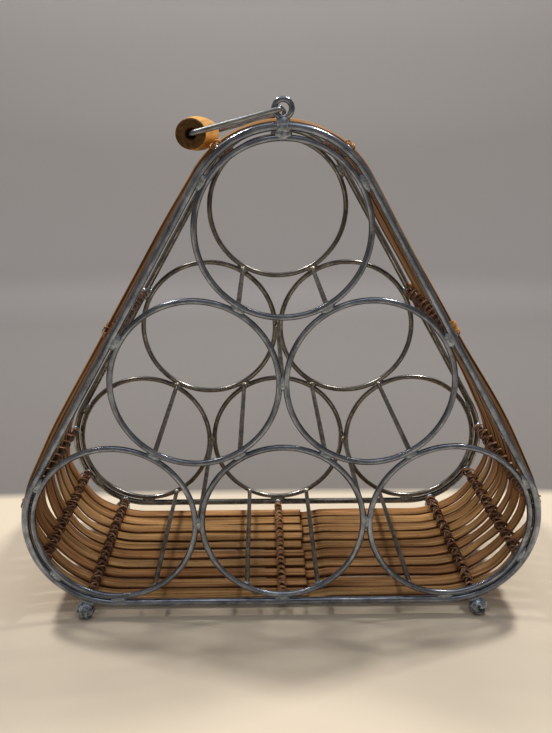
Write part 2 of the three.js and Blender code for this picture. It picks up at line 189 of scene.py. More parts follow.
# Welds: half sizes along the wires, across them and in y
RING_WELD = (4.4 * MM, 2.2 * MM, 1.95 * MM)
LONG_WELD = (5.2 * MM, 2.7 * MM, 2.05 * MM)
BROAD_WELD = (5.2 * MM, 3.3 * MM, 2.5 * MM)
FOOT_WELD = (4.5 * MM, 1.7 * MM, 2.5 * MM)
RAIL_BEAD = (2.9 * MM, 2.9 * MM, 2.0 * MM)
FRONT_ROD_BEADS = (1.7 * MM, 2.4 * MM)  # least and most
BACK_ROD_BEAD = 1.95 * MM
ROD_BEAD_DEPTH = 1.4 * MM
CROWN_BEADS = (  # rise from the frame's top, then half sizes, in millimetres
    (2.4, 3.9, 3.2, 2.8),
    (-0.7, 4.5, 3.6, 3.1),
    (-4.0, 4.7, 3.4, 2.7),
)
RUN_OFF = (3.9 * MM, 2.4 * MM, 2 * MM)  # of the weld at the front of one bottle rest
RUN_OFF_PLACE = Vector((2.4, -0.6, 0.4)) * MM
RUN_OFF_SLOPE = 0.35
FRAME_CONTACTS = {  # where the rings of a panel touch the frame, as outward angles in degrees
    "top": (90, 150, 30),
    "middle_left": (150,),
    "middle_right": (30,),
    "bottom_left": (150, -138, -90),
    "bottom_centre": (-90,),
    "bottom_right": (30, -27, -90),
}

# Camera, fitted to the photograph
IMAGE_WIDTH = 552
IMAGE_HEIGHT = 733
FOCAL_PIXELS = 819.88
SENSOR = 36.0
CAMERA_PLACE = Vector((-11.9, -523.2, 290.8)) * MM
CAMERA_PITCH = 0.2784  # below level, radians
CAMERA_YAW = 0.0177
CAMERA_ROLL = -0.0013

# Floor, backdrop and lights
FLOOR_SCALE = (0.114, 0.2723, 0.85)
FLOOR_SHIFT = (0, 0.2178, 0)
FLOOR_AND_SHADOW_TONES = [  # by scaled distance: the pale counter, then the backdrop, darkest just behind the counter and lighter further off as a painted shadow behind the rack
    (0.2469, (0.69, 0.607, 0.487)),
    (0.2481, (0.17, 0.158, 0.154)),
    (0.423, (0.26, 0.25, 0.25)),
    (0.491, (0.36, 0.35, 0.355)),
    (0.708, (0.44, 0.42, 0.415)),
    (0.87, (0.7, 0.68, 0.68)),
]
FLOOR_REACH, FLOOR_SWEEP, WALL_HEIGHT = 1.3, 0.5, 2.2
WARM_LIGHT = (1.0, 0.95, 0.88)
LIGHTS = [  # name, place, size, power in watts, colour
    ("key_right", (0.5, 0.3, 1.3), 0.16, 12.3, WARM_LIGHT),
    ("key_left", (-0.55, 0.3, 1.3), 0.16, 10.1, WARM_LIGHT),
    ("overhead", (0, -0.25, 1.7), 1.2, 4, (0.97, 0.98, 1.0)),
]
LIGHT_AIM = Vector((0, 0, 0.1))
SKY_COLOUR = (0.84, 0.86, 0.9, 1)
SKY_STRENGTH = 0.3


def middle(node):
    low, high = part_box(node)
    return (low + high) / 2


def extent(node):
    low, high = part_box(node)
    return high - low


# Places that follow from the frame
RING_RADIUS = (extent("front_ring_top").x - RING_WIRE) / 2
EYE_RADIUS = (extent("front_eye").x - EYE_WIRE) / 2
PITCH = middle("front_ring_bottom_right").x
BOTTOM_ROW = middle("front_ring_bottom_right").z
PANEL_Y = middle("back_ring_top").y
TOP_BEND = middle("front_ring_top").z + APEX_RISE
CORNER_RADIUS = RING_RADIUS + RING_WIRE / 2 + FRAME_GAP + FRAME_WIRE / 2
SLAT_MIDDLE = RAIL_WIRE / 2 + SEAT_GAP + SLAT_THICKNESS / 2  # outwards from the rails
LAP_DROP = SLAT_THICKNESS + SEAT_GAP
PIVOTS = {joint["name"]: Vector(joint["pos_m"]) for joint in frame["joints"]}
EYE_AXIS = PIVOTS["bail_swing"]
GRIP_AXIS = PIVOTS["grip_spin"]
RING_PLACES = {name: middle(f"front_ring_{name}") for name in FRAME_CONTACTS}
RODS = [name for name in frame["nodes"] if name.startswith(("cross_rod", "bottle_rest"))]
PANELS = {"front": -PANEL_Y, "back": PANEL_Y}


def random_for(name):
    """A generator of random numbers that depends on the name alone."""
    return np.random.default_rng(zlib.crc32(name.encode()))


# Meshes

def loft(rings, closed):
    """Points and faces of a body through rings of points, capped unless it is a closed loop."""
    count, sides = rings.shape[:2]
    spans = count if closed else count - 1
    i = np.arange(spans)[:, None]
    j = np.arange(sides)[None, :]
    after = (i + 1) % count
    beside = (j + 1) % sides
    corners = [i * sides + j, i * sides + beside, after * sides + beside, after * sides + j]
    faces = np.stack(corners, -1).reshape(-1, 4).tolist()
    if not closed:
        faces.append(list(range(sides))[::-1])
        faces.append(list(range((count - 1) * sides, count * sides)))
    return rings.reshape(-1, 3), faces


def turned(profile, sides):
    """Rings of points round Z, from rows of radius and height."""
    turn = np.linspace(0, 2 * math.pi, sides, endpoint=False)
    radius, height = profile[:, :1], profile[:, 1:]
    places = np.broadcast_arrays(radius * np.cos(turn), radius * np.sin(turn), height)
    return np.stack(places, -1)


class Shape:
    """Points, faces and point attributes, gathered from several bodies into one mesh."""

    def __init__(self):
        self.points = []
        self.faces = []
        self.attributes = {}
        self.count = 0

    def add(self, points, faces, **attributes):
        self.points.append(np.asarray(points, float))
        self.faces.extend([[corner + self.count for corner in face] for face in faces])
        self.count += len(points)
        for name, values in attributes.items():
            self.attributes.setdefault(name, []).append(np.asarray(values, float))
        return self


def linked(name, data):
    made = bpy.data.objects.new(name, data)
    bpy.context.scene.collection.objects.link(made)
    return made


def piece(name, shape, material, *replaced, slot="galvanised_wire", body="rack"):
    """One shown piece of the object, made from a shape, riding on a body in place of CAD nodes."""
    mesh = bpy.data.meshes.new(name)
    mesh.from_pydata(np.concatenate(shape.points).tolist(), [], shape.faces)
    for label, parts in shape.attributes.items():
        values = np.concatenate(parts)
        kind, field = ("FLOAT_VECTOR", "vector") if values.ndim == 2 else ("FLOAT", "value")
        mesh.attributes.new(label, kind, "POINT").data.foreach_set(field, values.ravel())
    outward = bmesh.new()
    outward.from_mesh(mesh)
    bmesh.ops.recalc_face_normals(outward, faces=outward.faces)
    outward.to_mesh(mesh)
    outward.free()
    mesh.shade_smooth()
    mesh.materials.append(material)
    shown = linked(name, mesh)
    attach(shown, body)
    if replaced:
        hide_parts(*replaced)


def lengths_along(path):
    steps = np.linalg.norm(np.diff(path, axis=0), axis=1)
    return np.concatenate([[0], np.cumsum(steps)])


def headings(path, closed):
    if closed:
        steps = np.roll(path, -1, axis=0) - np.roll(path, 1, axis=0)
    else:
        steps = np.gradient(path, axis=0)
    return steps / np.linalg.norm(steps, axis=1, keepdims=True)


def rounded_ends(path, diameter):
    """A path with extra points near both ends, and the share of the full radius at each point."""
    def rounded(end, beside):
        inward = (beside - end) / np.linalg.norm(beside - end)
        return [end + inward * depth * diameter for depth, _ in END_ROUND]

    head = rounded(path[0], path[1])
    tail = rounded(path[-1], path[-2])[::-1]
    shares = [share for _, share in END_ROUND]
    share = np.concatenate([shares, np.ones(len(path) - 2), shares[::-1]])
    return np.concatenate([head, path[1:-1], tail]), share


def swept(path, first, second, first_axis, second_axis, along, closed=False):
    """A body with a section along a path: its points and faces, and each point's place as if the
    body were pulled straight, for grain that follows it. The section lies along two axes."""
    rings = (
        path[:, None]
        + first[..., None] * first_axis[:, None]
        + second[..., None] * second_axis[:, None]
    )
    points, faces = loft(rings, closed)
    along = np.broadcast_to(along[:, None], first.shape)
    return points, faces, np.stack([along, first, second], -1).reshape(-1, 3)


def oval(sides, half_width, half_height):
    """Ovals as two arrays of places round them, one row for each half width and half height."""
    angle = np.linspace(0, 2 * math.pi, sides, endpoint=False)
    return half_width[:, None] * np.cos(angle), half_height[:, None] * np.sin(angle)


def wire(path, plane_normal, diameter, closed=False, phase=0.0):
    """A round wire along a path that lies in one plane."""
    path = np.asarray(path, float)
    share = np.ones(len(path))
    if not closed:
        path, share = rounded_ends(path, diameter)
    radius = share * diameter / 2
    tangent = headings(path, closed)
    normal = np.broadcast_to(np.asarray(plane_normal, float), tangent.shape)
    section = oval(WIRE_SIDES, radius, radius)
    along = lengths_along(path) + phase
    side = np.cross(tangent, normal)
    points, faces, straight = swept(path, *section, normal, side, along, closed)
    return Shape().add(points, faces, straight=straight)


def arc(x, z, radius, start, end, count=None):
    """Points on an arc between two angles in degrees, as (x, z) rows, in a count of steps."""
    if count is None:
        count = max(2, math.ceil(abs(math.radians(end - start)) * radius / WIRE_STEP))
    angle = np.radians(np.linspace(start, end, count + 1))
    return np.stack([x + radius * np.cos(angle), z + radius * np.sin(angle)], -1)


def between(at, places, rows):
    """Rows of (x, z) that are known at some places, at others between them."""
    return np.stack([np.interp(at, places, rows[:, k]) for k in (0, 1)], -1)


def outline_table():
    """The rounded triangle that the frames and slats follow, clockwise from the bottom middle as
    seen from the front: lengths along it, points, and the directions that face outwards there."""
    bends = [
        arc(-PITCH, BOTTOM_ROW, CORNER_RADIUS, -90, -210),
        arc(0, TOP_BEND, CORNER_RADIUS, 150, 30),
        arc(PITCH, BOTTOM_ROW, CORNER_RADIUS, 30, -90),
    ]
    bottom = [[0, BOTTOM_ROW - CORNER_RADIUS]]
    corners = np.concatenate([bottom, *bends, bottom])
    length = lengths_along(corners)
    even = np.linspace(0, length[-1], 2000)
    spot = between(even, length, corners)
    heading = headings(spot, False)
    return even, spot, np.stack([-heading[:, 1], heading[:, 0]], -1)


OUTLINE_AT, OUTLINE_SPOT, OUTLINE_OUT = outline_table()
OUTLINE_LENGTH = OUTLINE_AT[-1]


def on_outline(at):
    """Places (x, z) on the outline, and the outward directions there, at lengths along it."""
    within = np.mod(at, OUTLINE_LENGTH)
    spot = between(within, OUTLINE_AT, OUTLINE_SPOT)
    out = between(within, OUTLINE_AT, OUTLINE_OUT)
    return spot, out / np.linalg.norm(out, axis=1, keepdims=True)


def rail_places():
    """Where the rails stand: name, x, z, outward angle, and the length along the outline."""
    bends = [("bottom_centre", 0, BOTTOM_ROW, -90)]
    for side, sign in (("left", -1), ("right", 1)):
        bends += [
            (f"bottom_{side}", sign * PITCH, BOTTOM_ROW, -90 + sign * BOTTOM_RAIL_ANGLE),
            (f"corner_{side}", sign * PITCH, BOTTOM_ROW, -90 + sign * CORNER_RAIL_ANGLE),
            (f"lower_{side}", sign * PITCH, BOTTOM_ROW, -90 + sign * LOWER_RAIL_ANGLE),
            (f"upper_{side}", sign * PITCH / 2, (BOTTOM_ROW + TOP_BEND) / 2, 90 - sign * 60),
            (f"top_{side}", 0, TOP_BEND, 90 - sign * TOP_RAIL_ANGLE),
        ]
    found = []
    for name, x, z, degrees in bends:
        facing = math.radians(degrees)
        x += CORNER_RADIUS * math.cos(facing)
        z += CORNER_RADIUS * math.sin(facing)
        nearest = np.argmin(np.hypot(OUTLINE_SPOT[:-1, 0] - x, OUTLINE_SPOT[:-1, 1] - z))
        at = OUTLINE_AT[nearest]
        found.append(SimpleNamespace(name=name, x=x, z=z, facing=facing, at=at))
    return found


RAILS = rail_places()


# Materials

def fill(tree, made, inputs):
    """Link a node's inputs to sockets, or set them to constants."""
    for name, value in inputs.items():
        if isinstance(value, bpy.types.NodeSocket):
            tree.links.new(value, made.inputs[name])
        else:
            made.inputs[name].default_value = value


def node(tree, kind, inputs, **settings):
    made = tree.nodes.new(kind)
    for name, value in settings.items():
        setattr(made, name, value)
    fill(tree, made, inputs)
    return made


def new_material(name):
    material = bpy.data.materials.new(name)
    material.use_nodes = True
    return material, material.node_tree, material.node_tree.nodes["Principled BSDF"]


def attribute(tree, name, output="Fac"):
    return node(tree, "ShaderNodeAttribute", {}, attribute_name=name).outputs[output]


def object_place(tree):
    return node(tree, "ShaderNodeTexCoord", {}).outputs["Object"]


def stretched(tree, vector, scale, shift=(0, 0, 0)):
    mapped = node(tree, "ShaderNodeMapping", {"Vector": vector, "Scale": scale, "Location": shift})
    return mapped.outputs["Vector"]


def noise_of(tree, vector, scale, detail=3.0, roughness=0.55, distortion=0.0):
    """Noise with so many waves to the metre along each axis."""
    inputs = {
        "Vector": stretched(tree, vector, scale),
        "Scale": 1.0,
        "Detail": detail,
        "Roughness": roughness,
        "Distortion": distortion,
    }
    return node(tree, "ShaderNodeTexNoise", inputs).outputs["Fac"]


def ramp(tree, factor, stops):
    """A colour ramp through (place, colour) stops, where a colour may be one grey level."""
    made = node(tree, "ShaderNodeValToRGB", {"Fac": factor})
    elements = made.color_ramp.elements
    while len(elements) < len(stops):
        elements.new(0.5)
    for element, (place, colour) in zip(elements, stops):
        element.position = place
        element.color = (*(colour if isinstance(colour, tuple) else (colour,) * 3), 1)
    return made.outputs["Color"]


def mixed(tree, factor, first, second, blend="MIX"):
    inputs = {0: factor, 6: first, 7: second}
    return node(tree, "ShaderNodeMix", inputs, data_type="RGBA", blend_type=blend).outputs[2]


def tinted(tree, colour, *tints):
    """A colour multiplied by each of the tints in turn."""
    for tint in tints:
        colour = mixed(tree, 1.0, colour, tint, "MULTIPLY")
    return colour


def bumped(tree, shader, height, strength, distance):
    inputs = {"Height": height, "Strength": strength, "Distance": distance}
    fill(tree, shader, {"Normal": node(tree, "ShaderNodeBump", inputs).outputs["Normal"]})


def zinc_wire(name, levels, roughness, metallic=0.95):
    """Dull zinc with soft streaks along the wire, darker blotches and a few rubbed places."""
    material, tree, shader = new_material(name)
    straight = attribute(tree, "straight", "Vector")
    streak = noise_of(tree, straight, (25, 620, 620), detail=4)
    blotch = noise_of(tree, straight, (130, 260, 260), detail=5, roughness=0.65)
    speck = noise_of(tree, straight, (900, 1400, 1400), detail=2)
    zinc = ramp(tree, blotch, list(zip((0.28, 0.5, 0.74), levels)))
    shade = ramp(tree, streak, [(0.32, 0.52), (0.5, 0.92), (0.68, 1.2)])
    pits = ramp(tree, speck, [(0.28, 0.55), (0.4, 1.0)])
    fill(tree, shader, {
        "Base Color": tinted(tree, zinc, shade, pits),
        "Metallic": metallic,
        "Roughness": ramp(tree, blotch, [(0.3, roughness + 0.1), (0.7, roughness - 0.1)]),
    })
    bumped(tree, shader, blotch, 0.35, 0.0003)
    return material


def spattered_zinc(name, levels, grain):
    """Spattered zinc over welds and feet: bluish, rough and uneven."""
    material, tree, shader = new_material(name)
    place = object_place(tree)
    lumps = noise_of(tree, place, (grain,) * 3, detail=5, roughness=0.7)
    patches = noise_of(tree, place, (0.3 * grain,) * 3)
    cool = ramp(tree, lumps, [(0.36, levels[0]), (0.48, levels[1]), (0.64, levels[2])])
    warm = ramp(tree, lumps, [(0.36, levels[0]), (0.62, (0.56, 0.52, 0.47))])
    choice = ramp(tree, patches, [(0.56, 0.0), (0.7, 0.8)])
    fill(tree, shader, {
        "Base Color": mixed(tree, choice, cool, warm),
        "Metallic": 0.85,
        "Roughness": ramp(tree, patches, [(0.3, 0.22), (0.7, 0.45)]),
    })
    bumped(tree, shader, lumps, 0.6, 0.0005)
    return material


def cane():
    """Split cane: tan and fibrous inside, warmer and glossier outside, with painted shade along the
    edges.
    """
    material, tree, shader = new_material("cane")
    straight = attribute(tree, "straight", "Vector")
    tone = attribute(tree, "tone")
    skin = attribute(tree, "skin")
    edge = attribute(tree, "edge")
    fibre = noise_of(tree, straight, (15, 760, 350), detail=6, roughness=0.66)
    bands = noise_of(tree, straight, (11, 130, 60), detail=3)
    fleck = noise_of(tree, straight, (160, 1700, 900), detail=2)
    inner = ramp(tree, fibre, [
        (0.3, (0.124, 0.045, 0.008)),
        (0.5, (0.422, 0.233, 0.092)),
        (0.7, (0.585, 0.388, 0.21)),
    ])
    outer = ramp(tree, fibre, [
        (0.3, (0.24, 0.11, 0.03)),
        (0.5, (0.385, 0.198, 0.062)),
        (0.72, (0.54, 0.32, 0.12)),
    ])
    warmth = ramp(tree, tone, [
        (0.0, (0.82, 0.7, 0.64)),
        (0.35, (1.04, 0.94, 0.9)),
        (0.65, (0.95, 0.96, 0.88)),
        (1.0, (1.13, 1.12, 1.06)),
    ])
    shade = ramp(tree, bands, [(0.3, (0.55, 0.47, 0.4)), (0.52, 1.0), (0.72, (1.28, 1.26, 1.2))])
    flecks = ramp(tree, fleck, [(0.28, (0.3, 0.22, 0.17)), (0.38, 1.0)])
    # Painted shade: each slat is darkened along both long edges, where the gaps between the slats
    # lie in shade.
    painted_edge_shade = ramp(tree, edge, [(0.8, 1.0), (0.94, (0.43, 0.34, 0.27))])
    fill(tree, shader, {
        "Base Color": tinted(tree, mixed(tree, skin, inner, outer), warmth, shade, flecks, painted_edge_shade),
        "Roughness": ramp(tree, skin, [(0.2, 0.62), (0.9, 0.38)]),
        "Specular IOR Level": 0.2,
    })
    bumped(tree, shader, fibre, 0.45, 0.0004)
    return material


def rattan():
    """Split rattan strands, red-brown to honey by the skin share, where the red-brown on the parts
    inside the wrap is painted shade. They have a waxy gloss.
    """
    material, tree, shader = new_material("rattan")
    straight = attribute(tree, "straight", "Vector")
    fibre = noise_of(tree, straight, (60, 1500, 1500), detail=4)
    drift = noise_of(tree, straight, (28, 200, 200), detail=2)
    brown = ramp(tree, fibre, [
        (0.28, (0.045, 0.013, 0.005)),
        (0.5, (0.225, 0.096, 0.043)),
        (0.7, (0.6, 0.37, 0.225)),
    ])
    honey = ramp(tree, fibre, [
        (0.28, (0.34, 0.13, 0.025)),
        (0.52, (0.66, 0.33, 0.07)),
        (0.75, (0.88, 0.55, 0.17)),
    ])
    # Strands inside the wrap get the red-brown as painted shade, and those outside get the honey.
    colour = mixed(tree, attribute(tree, "skin"), brown, honey)
    shade = ramp(tree, drift, [(0.3, (0.6, 0.52, 0.48)), (0.6, 1.0), (0.78, (1.35, 1.3, 1.15))])
    fill(tree, shader, {
        "Base Color": tinted(tree, colour, shade),
        "Roughness": ramp(tree, fibre, [(0.3, 0.4), (0.7, 0.25)]),
        "Specular IOR Level": 0.45,
    })
    bumped(tree, shader, fibre, 0.5, 0.0003)
    return material


def turned_wood():
    """Honey-coloured turned wood under varnish, with long grain. The flat ends and the bore take a
    very dark colour: end grain darkened further as painted shade on the ends, and painted shade in
    the bore.
    """
    material, tree, shader = new_material("turned_wood")
    place = object_place(tree)
    end = attribute(tree, "end")
    grain = noise_of(tree, place, (420, 16, 420), detail=5, roughness=0.6, distortion=0.6)
    pores = noise_of(tree, place, (1500, 60, 1500), detail=2)
    side = ramp(tree, grain, [
        (0.3, (0.55, 0.225, 0.022)),
        (0.5, (0.78, 0.4, 0.058)),
        (0.7, (0.9, 0.54, 0.11)),
    ])
    fine = ramp(tree, pores, [(0.3, (0.6, 0.5, 0.4)), (0.42, 1.0)])
    cut = noise_of(tree, place, (600, 600, 600), detail=4)
    # Very dark colour for the ends and the bore: end grain with painted shade on the end faces,
    # painted shade alone in the bore.
    face = ramp(tree, cut, [
        (0.3, (0.05, 0.022, 0.006)),
        (0.6, (0.12, 0.058, 0.017)),
        (0.8, (0.18, 0.095, 0.032)),
    ])
    fill(tree, shader, {
        "Base Color": mixed(tree, end, tinted(tree, side, fine), face),
        "Roughness": ramp(tree, end, [(0.0, 0.3), (1.0, 0.8)]),
        "Specular IOR Level": 0.2,
        "Coat Weight": 0.05,
        "Coat Roughness": 0.15,
    })
    bumped(tree, shader, grain, 0.15, 0.0004)
    return material


WIRE = zinc_wire(
    "galvanised_wire", ((0.125, 0.142, 0.172), (0.225, 0.252, 0.308), (0.41, 0.445, 0.51)), 0.21
)
BACK_WIRE = zinc_wire(
    "back_wire", ((0.102, 0.1, 0.096), (0.228, 0.223, 0.212), (0.43, 0.42, 0.4)), 0.27
)
PANEL_WIRES = {"front": WIRE, "back": BACK_WIRE}
ROD = zinc_wire("rod_wire", ((0.06, 0.05, 0.04), (0.17, 0.152, 0.128), (0.33, 0.31, 0.27)), 0.42)
# The rails are nearly black-brown and half metallic. This is painted shade, which shows in the gaps
# between the lashing turns.
SHADED_RAIL = zinc_wire(
    "rail_wire", ((0.04, 0.022, 0.013), (0.1, 0.055, 0.032), (0.18, 0.105, 0.062)), 0.5, 0.5
)
BAIL = zinc_wire("bail_wire", ((0.13, 0.135, 0.145), (0.28, 0.285, 0.3), (0.46, 0.47, 0.49)), 0.36)
WELD = spattered_zinc(
    "weld_metal", ((0.17, 0.195, 0.23), (0.26, 0.31, 0.365), (0.44, 0.5, 0.57)), 620
)
FOOT = spattered_zinc(
    "foot_metal", ((0.014, 0.018, 0.026), (0.19, 0.23, 0.29), (0.75, 0.83, 0.93)), 380
)
BEAD = spattered_zinc(
    "bead_metal", ((0.34, 0.31, 0.26), (0.52, 0.48, 0.41), (0.75, 0.71, 0.62)), 620
)
CANE = cane()
RATTAN = rattan()
WOOD = turned_wood()
ALONG_X = (1, 0, 0)
ALONG_Y = (0, 1, 0)
BACK = Vector(ALONG_Y)
UP = Vector((0, 0, 1))
HANDS = ("left", "right")


# Wire panels

def in_plane(flat, y):
    """Rows of (x, z) as points at y, which is one number or one for each row."""
    return np.stack([flat[:, 0], np.full(len(flat), y), flat[:, 1]], -1)


def ring_wire(x, z, radius, y, diameter, phase):
    loop = in_plane(arc(x, z, radius, 0, 360)[:-1], y)
    return wire(loop, ALONG_Y, diameter, closed=True, phase=phase)


def straight_wire(x, z, start, end, diameter, phase):
    y = np.linspace(start, end, math.ceil(abs(end - start) / (4 * WIRE_STEP)))
    path = in_plane(np.full((len(y), 2), (x, z)), y)
    return wire(path, ALONG_X, diameter, phase=phase)


def make_panels():
    count = math.ceil(OUTLINE_LENGTH / WIRE_STEP)
    outline, _ = on_outline(np.linspace(0, OUTLINE_LENGTH, count, endpoint=False))
    for side, y in PANELS.items():
        outer = wire(in_plane(outline, y), ALONG_Y, FRAME_WIRE, closed=True)
        piece(f"{side}_frame_wire", outer, PANEL_WIRES[side], f"{side}_frame")
        for number, (name, centre) in enumerate(RING_PLACES.items()):
            ring = ring_wire(centre.x, centre.z, RING_RADIUS, y, RING_WIRE, number)
            cad_ring = f"{side}_ring_{name}"
            piece(f"{cad_ring}_wire", ring, PANEL_WIRES[side], cad_ring)


def make_rods():
    for number, name in enumerate(RODS):
        low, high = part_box(name)
        centre = middle(name)
        rod = straight_wire(centre.x, centre.z, low.y, high.y, ROD_WIRE, number)
        piece(f"{name}_wire", rod, ROD, name)


def make_rails():
    front = -PANEL_Y + FRAME_WIRE / 2 + WELD_GAP
    for number, rail in enumerate(RAILS):
        shape = straight_wire(rail.x, rail.z, front, PANEL_Y, RAIL_WIRE, 20 + number)
        piece(f"rail_{rail.name}_wire", shape, SHADED_RAIL, "back_frame")


def ball_centre(foot):
    centre = middle(foot)
    centre.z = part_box(foot)[1].z - FOOT_BALL / 2
    return centre


def make_feet():
    """Balls with a worn flat below."""
    radius = FOOT_BALL / 2
    polar = np.linspace(FOOT_POLE, math.pi - FOOT_POLE, FOOT_RINGS)
    height = np.maximum(radius * np.cos(polar), FOOT_FLAT - radius)
    rings = turned(np.stack([radius * np.sin(polar), height], -1), FOOT_SIDES)
    for side in PANELS:
        for hand in HANDS:
            name = f"{side}_foot_{hand}"
            shape = Shape().add(*loft(rings + np.array(ball_centre(name)), False))
            piece(f"{name}_ball", shape, FOOT, name)


def make_eyes():
    """Upright wire eyes. The beads at the crown of the frame are their stems."""
    for side, y in PANELS.items():
        shape = ring_wire(0, EYE_AXIS.z, EYE_RADIUS, y, EYE_WIRE, 3)
        piece(f"{side}_eye_wire", shape, WIRE, f"{side}_eye")


# Weld beads

def ball_template(subdivisions):
    made = bmesh.new()
    bmesh.ops.create_icosphere(made, subdivisions=subdivisions, radius=1)
    points = np.array([v.co[:] for v in made.verts])
    faces = [[v.index for v in f.verts] for f in made.faces]
    made.free()
    return points, faces


BALL_POINTS, BALL_FACES = ball_template(3)


def add_bead(shape, centre, along, across, radii, lumpiness=0.14):
    """A lumpy bead with its half sizes along two directions and square to them."""
    along = Vector(along).normalized()
    across = Vector(across).normalized()
    upright = along.cross(across)
    seed = Vector(centre) / MM
    lumps = [noise.fractal(Vector(p) * 1.7 + seed, 1.0, 2.0, 3) for p in BALL_POINTS]
    local = BALL_POINTS * (1 + lumpiness * np.array(lumps))[:, None] * np.array(radii)
    axes = np.array([along, across, upright])
    shape.add(local @ axes + np.array(centre), BALL_FACES)


def add_weld(shape, centre, along, across, radii, random):
    """A smooth run of weld along the line where two wires touch, with an uneven end."""
    sizes = np.array(radii) * random.uniform(0.92, 1.08, 3)
    add_bead(shape, centre, along, across, sizes, 0.1)
    shift = random.choice((-0.55, 0.55)) * radii[0]
    blob = np.array((0.4 * radii[0], radii[1], radii[2])) * random.uniform(0.85, 1.1, 3)
    add_bead(shape, Vector(centre) + Vector(along) * shift, along, across, blob)


def ring_contacts():
    """Where the rings of a panel touch: the place, and the direction from ring to ring."""
    places = list(RING_PLACES.values())
    for i, first in enumerate(places):
        for second in places[i + 1:]:
            gap = second - first
            if gap.length < 1.1 * PITCH:
                yield (first + second) / 2, gap.normalized()


def add_panel_welds(shape, y, random):
    """Welds from ring to ring and from the rings to the frame."""
    for spot, gap in ring_contacts():
        centre = Vector((spot.x, y, spot.z))
        add_weld(shape, centre, gap.cross(BACK), gap, RING_WELD, random)
    lift = RING_RADIUS + RING_WIRE / 2 + FRAME_GAP / 2
    for name, angles in FRAME_CONTACTS.items():
        ring = RING_PLACES[name]
        sizes = BROAD_WELD if y < 0 and name.startswith("middle") else LONG_WELD
        for angle in np.radians(angles):
            out = Vector((math.cos(angle), 0, math.sin(angle)))
            centre = Vector((ring.x, y, ring.z)) + out * lift
            add_weld(shape, centre, out.cross(BACK), out, sizes, random)


def add_foot_welds(shape, side, y, random):
    for hand in HANDS:
        ball = ball_centre(f"{side}_foot_{hand}")
        bend = Vector((math.copysign(PITCH, ball.x), y, BOTTOM_ROW))
        reach = (bend - ball).normalized()
        centre = ball + reach * (FOOT_BALL / 2 + SEAT_GAP / 2)
        add_weld(shape, centre, reach.cross(BACK), reach, FOOT_WELD, random)


def make_welds():
    """The welds of each panel in one piece, with the paler beads at the rods' back ends apart."""
    for side, y in PANELS.items():
        random = random_for(f"{side} welds")
        front = y < 0
        shape = Shape()
        add_panel_welds(shape, y, random)
        crown = Vector((0, y, TOP_BEND + CORNER_RADIUS))
        for rise, *sizes in CROWN_BEADS:
            add_bead(shape, crown + UP * rise * MM, ALONG_X, UP, np.array(sizes) * MM, 0.08)
        beads = shape if front else Shape()
        for name in RODS:
            spot = middle(name)
            spot.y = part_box(name)[0 if front else 1].y
            size = random.uniform(*FRONT_ROD_BEADS) if front else BACK_ROD_BEAD
            add_bead(beads, spot, ALONG_X, UP, (size, size, ROD_BEAD_DEPTH), 0.3)
        if front:
            spot = middle("bottle_rest_centre_right") + RUN_OFF_PLACE
            spot.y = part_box("bottle_rest_centre_right")[0].y + RUN_OFF_PLACE.y
            along, across = (1, 0, RUN_OFF_SLOPE), (-RUN_OFF_SLOPE, 0, 1)
            add_bead(shape, spot, along, across, RUN_OFF, 0.2)
        end = y + (1 if front else -1) * FRAME_WIRE / 2
        for rail in RAILS:
            add_bead(shape, (rail.x, end, rail.z), ALONG_X, UP, RAIL_BEAD)
        add_foot_welds(shape, side, y, random)
        piece(f"{side}_welds", shape, WELD)
        if not front:
            piece("back_rod_beads", beads, BEAD)


# Cane wrap

def eased(share):
    share = np.clip(share, 0, 1)
    return share * share * (3 - 2 * share)


def by_station(table):
    return np.array([table.get(station, 0.0) for station in range(len(STATION_AT))])


def stations():
    """Lengths along the outline where the slats are held, and halfway between, with a flag."""
    held = np.array([0.0, *sorted(rail.at for rail in RAILS[1:]), OUTLINE_LENGTH])
    at = np.empty(2 * len(held) - 1)
    at[::2] = held
    at[1::2] = (held[:-1] + held[1:]) / 2
    return at, np.arange(len(at)) % 2 == 0


STATION_AT, STATION_HELD = stations()


class Slat:
    """How one slat strays from its place: sideways, in twist, in bow and in width."""

    def __init__(self, number):
        random = random_for(f"slat {number}")
        self.name = f"cane_slat_{number}"
        self.number = number
        self.y = middle(self.name).y
        self.width = extent(self.name).y * (1 + random.uniform(-1, 1) * SLAT_WIDTH_SPREAD)
        count = len(STATION_AT)
        wander = np.where(STATION_HELD, SLAT_WANDER_HELD, SLAT_WANDER_FREE)
        self.side = random.uniform(-1, 1, count) * wander
        for station, strays in SLAT_STRAYS.items():
            self.side[station] = strays[number - 1] * MM
        twist = np.where(STATION_HELD, SLAT_TWIST_HELD, SLAT_TWIST_FREE)
        self.twist = random.uniform(-1, 1, count) * twist
        self.bow = random.uniform(0, 1, count) * np.where(STATION_HELD, 0, SLAT_BOW)
        self.bow += by_station(SPRING_OUT) * MM
        self.widening = random.uniform(*SLAT_WIDENING, count) + by_station(SPAN_WIDTHS)
        self.start = -LAP_INNER_END + random.uniform(-1, 1) * LAP_SCATTER
        self.end = OUTLINE_LENGTH + LAP_OUTER_END + random.uniform(-1, 1) * LAP_SCATTER
        self.tone = random.uniform(0, 1)

    def stray(self, values, at):
        """A value at each station, carried smoothly to the lengths between them."""
        within = np.clip(at, 0, OUTLINE_LENGTH)
        after = np.clip(np.searchsorted(STATION_AT, within, side="right"), 1, len(STATION_AT) - 1)
        low, high = STATION_AT[after - 1], STATION_AT[after]
        share = eased((within - low) / (high - low))
        return values[after - 1] * (1 - share) + values[after] * share

    def middle_at(self, at):
        return self.y + self.stray(self.side, at)

    def half_width_at(self, at):
        return self.width / 2 * (1 + self.stray(self.widening, at))


SLATS = [Slat(number + 1) for number in range(SLAT_COUNT)]


